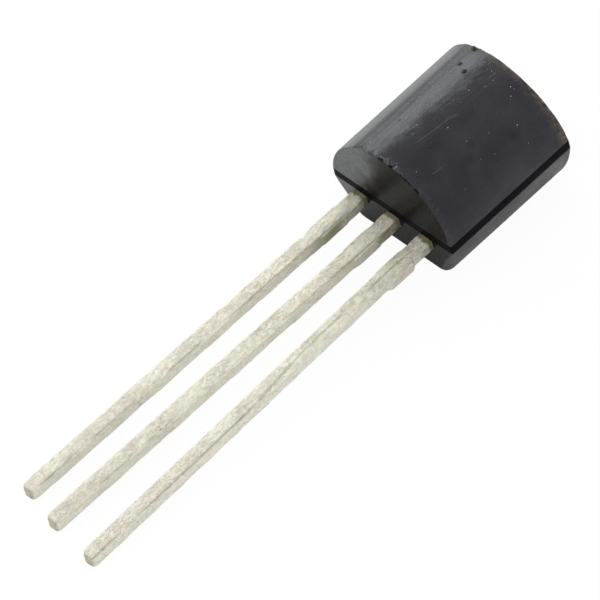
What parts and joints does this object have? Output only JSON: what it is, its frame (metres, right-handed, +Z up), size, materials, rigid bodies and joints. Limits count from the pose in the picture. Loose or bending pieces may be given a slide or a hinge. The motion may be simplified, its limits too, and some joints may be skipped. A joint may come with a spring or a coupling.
{
  "type": "to-92 transistor",
  "caption": "Small-signal transistor: moulded epoxy case with a round back and a flat front, on tinned stamped leads in a row, lying loose.",
  "frame": {"origin": "on the surface that the loose part lies on, under the middle of its bounding box", "axes": "+X along the row of leads, +Y from the lead tips to the far end of the case, +Z up, on the side of the round back"},
  "size_m": [0.0046, 0.0182, 0.0039],
  "materials": {
    "moulded_epoxy": "satin black epoxy, with fine scratches, small pits and a ragged moulding edge",
    "tinned_lead": "dull, rough hot-dipped tin, browned beside the case",
    "silicon": "polished silicon",
    "die_bond": "silver-filled bond",
    "gold_wire": "bright gold"
  },
  "bodies": {
    "root": {"case": "moulded_epoxy", "emitter_lead": "tinned_lead", "collector_lead": "tinned_lead", "base_lead": "tinned_lead", "die": "silicon", "die_attach": "die_bond", "emitter_bond_wire": "gold_wire", "base_bond_wire": "gold_wire"}
  },
  "joints": []
}
